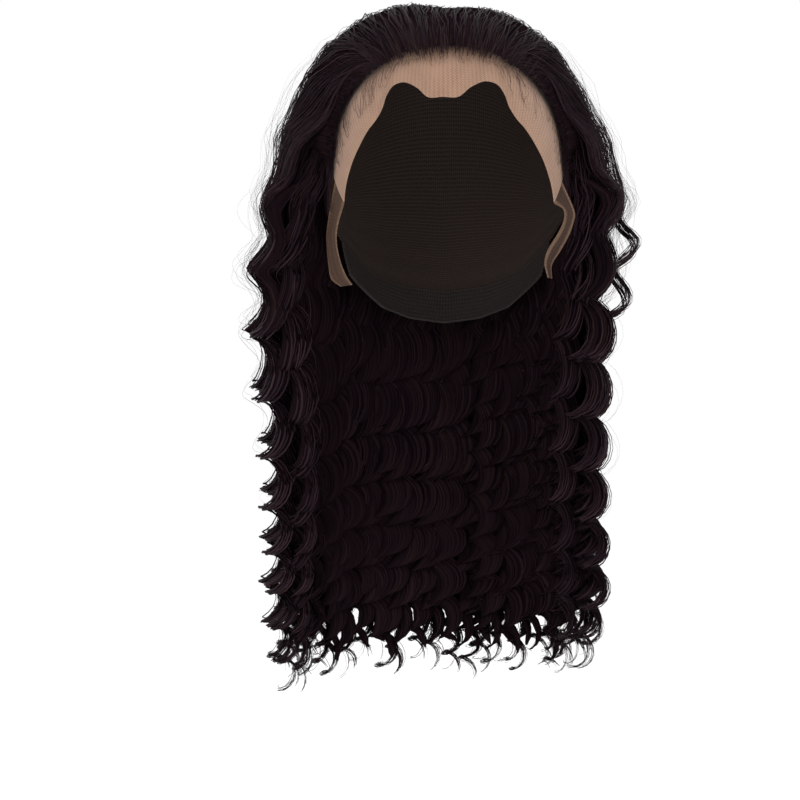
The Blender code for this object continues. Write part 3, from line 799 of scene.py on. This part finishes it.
def add_temple_hair(material):
    """Fine hair that lies close over the net in front of each ear, from the end of the hairline down."""
    count, points = TEMPLE_STRANDS, TEMPLE_POINTS
    share = np.linspace(0.0, 1.0, points)[None, :]
    side = RANDOM.choice((-1.0, 1.0), (count, 1))
    bearing = RANDOM.uniform(66.0, 76.0, (count, 1)) + RANDOM.uniform(2.0, 12.0, (count, 1)) * share**1.5
    top = RANDOM.uniform(-102.0, -76.0, (count, 1))
    height = top * (1.0 - share) + RANDOM.uniform(-128.0, -116.0, (count, 1)) * share
    proud = NET_WALL + RANDOM.uniform(0.4, 2.2, (count, 1)) * MM * np.sin(np.pi * (0.08 + 0.8 * share))
    path = on_head(head_direction(side * bearing, height * MM), proud)
    widths = strand_widths(count, points, STRAND_WIDTH * 0.7)
    strands = strand_arrays(path, unit(path - HEAD_CENTRE), widths, spread_ids(count))
    finish_piece(strand_object("temple_hair", [strands], [material]))


def add_roots(roots, hair):
    """Fine short hair along the hairline, which starts at uneven distances in front of the dense hair. At
    the temples it is shorter, and as dark as the rest."""
    count, points = ROOT_STRANDS, ROOT_POINTS
    across = RANDOM.uniform(-1.0, 1.0, count)
    temple = smooth_step((np.abs(across) - 0.35) / 0.2)
    start = RANDOM.normal(0.0, 0.018, count) - 0.006
    reach = RANDOM.uniform(0.06, 0.16, (count, 1)) * (1.0 - 0.45 * temple[:, None])
    step = start[:, None] + reach * np.linspace(0.0, 1.0, points)
    across = across[:, None] + RANDOM.normal(0.0, 0.012, (count, 1)) * np.linspace(0.0, 1.0, points)
    lean = COMB_LEAN + (TEMPLE_LEAN - COMB_LEAN) * smooth_step((np.abs(across) - 0.5) / 0.4)
    depth = RANDOM.uniform(-0.3, 0.9, (count, 1)) + 0.0 * step
    path = crown_points(np.clip(across, -1.0, 1.0), step, depth, None, lean)
    widths = strand_widths(count, points, ROOT_WIDTH)
    dark = RANDOM.uniform(0.0, 1.0, count) < temple
    families = []
    for number, mine in enumerate((~dark, dark)):
        facing = unit(path[mine] - HEAD_CENTRE)
        family = strand_arrays(path[mine], facing, widths[mine], spread_ids(np.count_nonzero(mine)))
        families.append((*family[:-1], number))
    finish_piece(strand_object("root_hairs", families, [roots, hair]))


def lace_points(across, row, proud):
    """Points of the lace panel: row 0 is the cut edge and row 1 the hidden seam."""
    share, side = np.abs(across), np.where(across < 0.0, -1.0, 1.0)
    cut_edge = lace_line("cut", share, side)
    seam = seam_directions(share, side, SEAM_BEHIND_HAIRLINE)
    return on_head(unit((1.0 - row)[..., None] * cut_edge + row[..., None] * seam), proud)


def add_lace(lace, thread):
    """The lace panel as a thin sheet, and its net: zigzag threads whose bends meet, in small cells."""
    columns, rows = 161, 14
    across = np.linspace(-1.0, 1.0, columns)[None, :] + np.zeros((rows, 1))
    row = np.linspace(0.0, 1.0, rows)[:, None] + 0.0 * across
    inner = lace_points(across, row, np.full(across.shape, 0.2 * MM))
    outer = lace_points(across, row, np.full(across.shape, 0.6 * MM))
    lengths = np.linalg.norm(np.diff(outer[rows // 2], axis=0), axis=-1)
    arc = np.concatenate([[0.0], np.cumsum(lengths)])
    upward = np.linalg.norm(np.diff(outer, axis=0), axis=-1)
    rise = np.concatenate([np.zeros((1, columns)), np.cumsum(upward, axis=0)])
    uv = np.stack([arc[None, :] + 0.0 * rise, rise], axis=-1)
    sheet = wall_object("lace_panel", inner, outer, uv, lace)
    spacing = LACE_CELL
    threads = int(arc[-1] / spacing)
    bends = 44
    place = (np.arange(threads) + 0.5) * spacing
    zigzag = np.where((np.arange(threads)[:, None] + np.arange(bends)) % 2 == 0, 0.5, -0.5) * spacing
    zigzag[:, 0] = 0.0
    thread_across = np.interp(place[:, None] + zigzag, arc, across[0])
    thread_row = np.linspace(0.0, 0.97, bends)[None, :] + 0.0 * thread_across
    path = lace_points(thread_across, thread_row, np.full(thread_row.shape, 0.58 * MM))
    facing = unit(path - HEAD_CENTRE)
    widths = np.full(path.shape[:2], LACE_THREAD)
    strands = strand_arrays(path, facing, widths, np.arange(threads) * 1.0)
    net = strand_object("lace_net_threads", [strands], [thread])
    finish_piece(sheet, "lace_front")
    finish_piece(net)
    return sheet, net


def tab_points(side, table, columns, rows):
    """A free ear tab: a smooth strip through its table's crossings, from the end of the lace panel down."""
    end = np.array([1.0])
    cut_edge = lace_line("cut", end, side)
    seam = seam_directions(end, side, SEAM_BEHIND_HAIRLINE)
    top = [on_head(blend(cut_edge, seam, step), LACE_WALL / 2)[0] for step in (0.0, TAB_SHARE_OF_LACE_END)]
    crossings = np.array(table) * MM
    front = crossings[:, [TAB_COLUMNS.index(c) for c in ("front_x", "front_y", "height")]]
    rear = crossings[:, [TAB_COLUMNS.index(c) for c in ("rear_x", "rear_y", "height")]]
    front = np.concatenate([[top[0]], front])
    rear = np.concatenate([[top[1]], rear])
    place = np.linspace(0.0, len(front) - 1.0, rows)
    edges = [on_curve(edge, place) for edge in (front, rear)]
    share = np.linspace(0.0, 1.0, columns)[None, :, None]
    return edges[0][:, None] * (1.0 - share) + edges[1][:, None] * share


def add_ear_tab(name, node, side, table, lace):
    """An ear tab of lace with a rolled fold along its front edge, as a closed thin wall."""
    columns, rows = 17, 48
    middle = tab_points(side, table, columns, rows)
    middle[..., 2] -= TAB_GAP
    across = unit(np.gradient(middle, axis=1))
    down = unit(np.gradient(middle, axis=0))
    normal = unit(np.cross(across, down))
    share = np.linspace(0.0, 1.0, columns)[None, :, None]
    ripple = 0.5 * MM * np.sin(5.0 * np.pi * share + 3.0 * np.linspace(0.0, 1.0, rows)[:, None, None])
    middle = middle + normal * ripple * np.sin(np.pi * np.linspace(0.0, 1.0, rows))[:, None, None]
    wall = LACE_WALL * (0.24 + 0.5 * np.exp(-share / 0.06) + 0.3 * np.exp(-(1.0 - share) / 0.06)) / 2.0
    wall = wall + np.zeros((rows, 1, 1))
    uv = np.stack([share[..., 0] * TAB_UV_WIDTH + 0.0 * wall[..., 0], 0.0 * wall[..., 0]], axis=-1)
    uv[..., 1] += np.linspace(0.0, 0.06, rows)[:, None]
    piece = wall_object(name, middle - normal * wall, middle + normal * wall, uv, lace)
    finish_piece(piece, node)
    return piece


def add_hairline_wisps(material):
    """Short fine hairs that stray from the hairline over the lace: a few on the forehead, and curls at
    the temples."""
    count, points = HAIRLINE_WISPS, WISP_POINTS
    temple = RANDOM.uniform(0.0, 1.0, count) < 0.72
    side = RANDOM.choice((-1.0, 1.0), count)
    across = np.where(temple, side * RANDOM.uniform(0.26, 0.85, count), RANDOM.uniform(-0.28, 0.28, count))
    along = np.linspace(0.0, 1.0, points)[None, :]
    share, side = np.abs(across), np.where(across < 0.0, -1.0, 1.0)
    cut_edge, hairline = lace_line("cut", share, side), lace_line("hair", share, side)
    seam = seam_directions(share, side, SEAM_BEHIND_HAIRLINE)
    hairline_row = angle_between(cut_edge, hairline) / np.maximum(angle_between(cut_edge, seam), 1e-6)
    reach = np.where(temple, RANDOM.uniform(0.10, 0.50, count), RANDOM.uniform(0.04, 0.20, count))[:, None]
    row = hairline_row[:, None] + 0.04 - reach * np.sin(along * np.pi * RANDOM.uniform(0.45, 1.0, (count, 1)))
    sideways = side * RANDOM.uniform(-0.01, 0.10, count)
    drift = np.where(temple, sideways, RANDOM.normal(0.0, 0.02, count))[:, None]
    turns = 2.0 * np.pi * along * RANDOM.uniform(0.8, 3.0, (count, 1)) + RANDOM.uniform(0.0, 6.0, (count, 1))
    curl = np.where(temple, 0.010, 0.004)[:, None] * RANDOM.uniform(0.4, 1.0, (count, 1))
    place = across[:, None] + drift * along + curl * np.sin(turns) * along
    row = row + curl * 2.5 * np.cos(turns) * along
    proud = (0.9 + 1.2 * np.sin(np.pi * along)) * MM + 0.0 * place
    path = lace_points(np.clip(place, -1.0, 1.0), np.clip(row, 0.02, 1.2), proud)
    widths = strand_widths(count, points, FLYAWAY_WIDTH * 0.9)
    strands = strand_arrays(path, unit(path - HEAD_CENTRE), widths, spread_ids(count))
    finish_piece(strand_object("hairline_wisps", [strands], [material]))


def add_cap(net, elastic):
    """The net dome with its sewn rows of weft, and the ribbed elastic band at the nape."""
    columns, rows = 97, 52
    across = np.linspace(-1.0, 1.0, columns)[None, :] + np.zeros((rows, 1))
    share, side = np.abs(across), np.where(across < 0.0, -1.0, 1.0)
    seam = seam_directions(share, side, SEAM_BEHIND_HAIRLINE + LACE_SEAM_GAP / HEAD_HALF_SIZES[0])
    edge = cap_edge_line(share, side)
    step = np.linspace(0.0, 1.0, rows)[:, None] + 0.0 * across
    direction = comb(seam, edge, step)
    weft = np.maximum(np.cos(2.0 * np.pi * WEFT_ROWS * step), 0.0) ** 6
    inner = on_head(direction, 0.5 * MM - 0.5 * MM * weft)
    outer = on_head(direction, np.full(step.shape, NET_WALL))
    uv = np.stack([across * 0.24, step * 0.26], axis=-1)
    finish_piece(wall_object("cap_net", inner, outer, uv, net), "cap_crown")

    columns, rows = 81, 26
    reach = NAPE_BAND_END_SHARE
    across = np.linspace(-reach, reach, columns)[None, :] + np.zeros((rows, 1))
    bearing = read_table(CAP_EDGE_TABLE, CAP_EDGE_COLUMNS, "bearing", np.abs(across)) * np.sign(across + 1e-9)
    height = read_table(CAP_EDGE_TABLE, CAP_EDGE_COLUMNS, "height", np.abs(across)) * MM
    down = np.linspace(0.0, 1.0, rows)[:, None]
    direction = head_direction(bearing, height - SEAM_GAP - (NAPE_BAND_HEIGHT - SEAM_GAP) * down)
    rib = 0.22 * MM * np.cos(2.0 * np.pi * BAND_RIBS * down)
    inner = on_head(direction, 0.3 * MM - rib + 0.0 * across)
    outer = on_head(direction, BAND_WALL - 0.3 * MM + rib + 0.0 * across)
    uv = np.stack([across * 0.12, down * NAPE_BAND_HEIGHT + 0.0 * across], axis=-1)
    finish_piece(wall_object("nape_elastic", inner, outer, uv, elastic), "nape_band")


def new_material(name, roughness, specular):
    """A material with a Principled shader, and the node tree to add to."""
    material = bpy.data.materials.new(name)
    material.use_nodes = True
    shader = material.node_tree.nodes["Principled BSDF"]
    shader.inputs["Roughness"].default_value = roughness
    shader.inputs["Specular IOR Level"].default_value = specular
    return material, material.node_tree, shader


def add_node(tree, kind, **values):
    node = tree.nodes.new(kind)
    for key, value in values.items():
        if key in node.inputs:
            node.inputs[key].default_value = value
        else:
            setattr(node, key, value)
    return node


def scaled_uv(tree, scale):
    """The piece's own UVs, in metres or strands, stretched by a Mapping node."""
    uv = add_node(tree, "ShaderNodeUVMap", uv_map="UVMap")
    mapping = add_node(tree, "ShaderNodeMapping", Scale=scale)
    tree.links.new(uv.outputs["UV"], mapping.inputs["Vector"])
    return mapping.outputs["Vector"]


def noise(tree, vector, scale, detail=2.0):
    node = add_node(tree, "ShaderNodeTexNoise", Scale=scale, Detail=detail)
    tree.links.new(vector, node.inputs["Vector"])
    return node.outputs["Fac"]


def colour_ramp(tree, factor, stops):
    """Colours on a ramp: each stop is a place from 0 to 1 and a linear colour."""
    ramp = tree.nodes.new("ShaderNodeValToRGB")
    elements = ramp.color_ramp.elements
    while len(elements) < len(stops):
        elements.new(0.5)
    for element, (place, colour) in zip(elements, stops):
        element.position = place
        element.color = (*colour, 1.0)
    tree.links.new(factor, ramp.inputs["Fac"])
    return ramp.outputs["Color"]


def add_bump(tree, shader, height, strength, distance):
    bump = add_node(tree, "ShaderNodeBump", Strength=strength, Distance=distance)
    tree.links.new(height, bump.inputs["Height"])
    tree.links.new(bump.outputs["Normal"], shader.inputs["Normal"])


def hair_material(name, roughness, specular, tint, tones):
    """Near-black brown hair, times tint: a tone for each strand that shifts along it, and fine grooves
    along it. tones is how fast the tone changes from strand to strand."""
    material, tree, shader = new_material(name, roughness, specular)
    shader.inputs["Specular Tint"].default_value = (1.0, 0.66, 0.78, 1.0)
    tone = noise(tree, scaled_uv(tree, (tones, 9.0, 1.0)), 1.0, 3.0)
    # Random tone from strand to strand and along each; the lightest stop stands for highlights, a painted
    # highlight scattered at random.
    stops = (
        (0.30, (0.0022, 0.0013, 0.0028)),
        (0.48, (0.0115, 0.0064, 0.0095)),
        (0.58, (0.0210, 0.0112, 0.0115)),
        (0.68, (0.0270, 0.0155, 0.0200)),
        (0.82, (0.0660, 0.0400, 0.0350)),
    )
    stops = [(place, tuple(np.array(colour) * tint)) for place, colour in stops]
    tree.links.new(colour_ramp(tree, tone, stops), shader.inputs["Base Color"])
    grooves = noise(tree, scaled_uv(tree, (9.0, 6.0, 1.0)), 1.0, 2.0)
    add_bump(tree, shader, grooves, 0.5, 0.0004)
    return material


def lace_material(name, light, dark, alpha):
    """Tan lace: light upright thread lines on a darker cloth, with soft blotches."""
    material, tree, shader = new_material(name, 0.78, 0.25)
    shader.inputs["Alpha"].default_value = alpha
    shader.inputs["Sheen Weight"].default_value = 0.25
    shader.inputs["Sheen Roughness"].default_value = 0.5
    upright = add_node(tree, "ShaderNodeTexWave", bands_direction="X", Scale=120.0, Distortion=0.6)
    upright.inputs["Detail"].default_value = 1.0
    tree.links.new(scaled_uv(tree, (1.0, 1.0, 1.0)), upright.inputs["Vector"])
    blotch = noise(tree, scaled_uv(tree, (90.0, 60.0, 1.0)), 1.0, 3.0)
    mixed = add_node(tree, "ShaderNodeMath", operation="MULTIPLY_ADD")
    mixed.inputs[1].default_value = 0.45
    tree.links.new(upright.outputs["Fac"], mixed.inputs[0])
    tree.links.new(blotch, mixed.inputs[2])
    colour = colour_ramp(tree, mixed.outputs[0], ((0.35, dark), (0.95, light)))
    tree.links.new(colour, shader.inputs["Base Color"])
    add_bump(tree, shader, upright.outputs["Fac"], 0.35, 0.0003)
    return material


def shaded_tab_material(name, net):
    """Lace of the free tabs: a net between two pale rolled edges, at the two ends of its u. The net is
    painted darker than the lace front, as painted shade and the dark hair seen through it; the pale edges are
    the rolled lace and partly a painted highlight.
    """
    material, tree, shader = new_material(name, 0.8, 0.15)
    across = add_node(tree, "ShaderNodeSeparateXYZ")
    tree.links.new(scaled_uv(tree, (1.0 / TAB_UV_WIDTH, 1.0, 1.0)), across.inputs["Vector"])
    # The colour of the rolled edges, partly a painted highlight along the rims.
    pale = (0.172, 0.106, 0.070)
    stops = ((0.0, pale), (0.08, pale), (0.20, net), (0.82, net), (0.93, pale))
    edges = colour_ramp(tree, across.outputs["X"], stops)
    cells = add_node(tree, "ShaderNodeTexVoronoi", Scale=1.0, Randomness=0.4, feature="DISTANCE_TO_EDGE")
    tree.links.new(scaled_uv(tree, (900.0, 900.0, 1.0)), cells.inputs["Vector"])
    stops = ((0.05, (1.0, 1.0, 1.0)), (0.30, (0.45, 0.42, 0.40)))
    threads = colour_ramp(tree, cells.outputs["Distance"], stops)
    mixed = add_node(tree, "ShaderNodeVectorMath", operation="MULTIPLY")
    tree.links.new(edges, mixed.inputs[0])
    tree.links.new(threads, mixed.inputs[1])
    tree.links.new(mixed.outputs["Vector"], shader.inputs["Base Color"])
    add_bump(tree, shader, cells.outputs["Distance"], 0.4, 0.0003)
    return material


def net_material():
    """Dark stretch net: small round holes in a soft knit, a little lighter on the threads."""
    material, tree, shader = new_material("dark_stretch_net", 0.85, 0.2)
    cells = add_node(tree, "ShaderNodeTexVoronoi", Scale=1.0, Randomness=0.25, feature="DISTANCE_TO_EDGE")
    tree.links.new(scaled_uv(tree, (620.0, 620.0, 1.0)), cells.inputs["Vector"])
    stops = ((0.0, (0.050, 0.034, 0.028)), (0.22, (0.020, 0.013, 0.011)), (0.6, (0.006, 0.004, 0.004)))
    tree.links.new(colour_ramp(tree, cells.outputs["Distance"], stops), shader.inputs["Base Color"])
    add_bump(tree, shader, cells.outputs["Distance"], 0.6, 0.0006)
    return material


def elastic_material():
    """Black-brown elastic: fine upright ribs of the weave over the band's own ribs."""
    material, tree, shader = new_material("dark_elastic", 0.75, 0.3)
    ribs = add_node(tree, "ShaderNodeTexWave", bands_direction="X", Scale=260.0, Distortion=0.3)
    tree.links.new(scaled_uv(tree, (1.0, 1.0, 1.0)), ribs.inputs["Vector"])
    stops = ((0.2, (0.008, 0.006, 0.006)), (0.9, (0.030, 0.022, 0.020)))
    tree.links.new(colour_ramp(tree, ribs.outputs["Fac"], stops), shader.inputs["Base Color"])
    add_bump(tree, shader, ribs.outputs["Fac"], 0.5, 0.0004)
    return material


def add_floor():
    """A plain pale floor below the hair."""
    mesh = bpy.data.meshes.new("floor")
    size = 12.0
    corners = [(-size, -size, FLOOR_HEIGHT), (size, -size, FLOOR_HEIGHT), (size, size, FLOOR_HEIGHT)]
    mesh.from_pydata(corners + [(-size, size, FLOOR_HEIGHT)], [], [(0, 1, 2, 3)])
    material, _, shader = new_material("pale_floor", 1.0, 0.0)
    shader.inputs["Base Color"].default_value = (1.0, 1.0, 1.0, 1.0)
    mesh.materials.append(material)
    floor = bpy.data.objects.new("floor", mesh)
    bpy.context.scene.collection.objects.link(floor)


def add_light(name, place, size, power):
    """A soft square light that looks at the middle of the hair."""
    data = bpy.data.lights.new(name, "AREA")
    data.size = size
    data.energy = power
    light = bpy.data.objects.new(name, data)
    light.location = place
    target = np.array((0.0, 0.0, -0.2))
    away = np.array(place) - target
    flat = np.hypot(away[0], away[1])
    light.rotation_euler = (np.arctan2(flat, away[2]), 0.0, np.arctan2(away[0], -away[1]))
    bpy.context.scene.collection.objects.link(light)


def add_studio():
    """White surroundings, soft lights and the photo's camera."""
    world = bpy.data.worlds.new("white_studio")
    world.use_nodes = True
    world.node_tree.nodes["Background"].inputs["Color"].default_value = (1.0, 1.0, 1.0, 1.0)
    world.node_tree.nodes["Background"].inputs["Strength"].default_value = 1.0
    bpy.context.scene.world = world
    bpy.context.scene.view_settings.view_transform = "Standard"
    add_light("key", (-0.8, -1.7, 0.5), 0.9, 10.0)
    add_light("fill", (1.2, -1.4, 0.2), 1.0, 6.0)
    add_light("top", (0.2, 0.2, 1.4), 1.0, 2.5)
    data = bpy.data.cameras.new("camera")
    data.sensor_width = SENSOR
    data.lens = SENSOR * CAMERA_DISTANCE / VIEW_WIDTH
    camera = bpy.data.objects.new("camera", data)
    camera.location = (CAMERA_X, -CAMERA_DISTANCE, CAMERA_Z)
    camera.rotation_euler = (np.pi / 2, 0.0, 0.0)
    bpy.context.scene.collection.objects.link(camera)
    bpy.context.scene.camera = camera


def main():
    hair = hair_material("dark_wave_hair", 0.44, 0.08, (1.16, 1.16, 1.17), 0.9)
    # The inside material is the same hair at about half the outer tint and without shine: painted shade for
    # the inside of the hair, on the cores and the crown mass.
    inside = hair_material("hair_inside_painted_shade", 0.7, 0.0, (0.62, 0.62, 0.62), 2.6)
    roots = hair_material("hair_roots", 0.6, 0.04, (2.8, 3.0, 2.3), 0.9)
    lace = lace_material("tan_lace_cloth", (0.357, 0.212, 0.141), (0.255, 0.145, 0.095), 0.9)
    thread = lace_material("tan_lace_thread", (0.393, 0.239, 0.157), (0.306, 0.181, 0.119), 1.0)
    # The tab nets are painted far darker than the lace front, the right one darker than the left: painted
    # shade.
    tab_left = shaded_tab_material("tab_lace_left_painted_shade", (0.086, 0.051, 0.036))
    tab_right = shaded_tab_material("tab_lace_right_painted_shade", (0.060, 0.035, 0.026))
    clumps = Clumps(RANDOM)
    add_cap(net_material(), elastic_material())
    sheet, net = add_lace(lace, thread)
    left = add_ear_tab("lace_tab_left", "ear_tab_left", -1.0, TAB_LEFT_TABLE, tab_left)
    right = add_ear_tab("lace_tab_right", "ear_tab_right", 1.0, TAB_RIGHT_TABLE, tab_right)
    add_crown(clumps, hair, inside)
    add_locks(clumps, (hair, inside))
    add_stray_locks(clumps, hair)
    add_roots(roots, hair)
    add_hairline_wisps(roots)
    add_temple_hair(hair)
    add_flyaways(clumps, hair)
    add_floor()
    add_studio()


main()
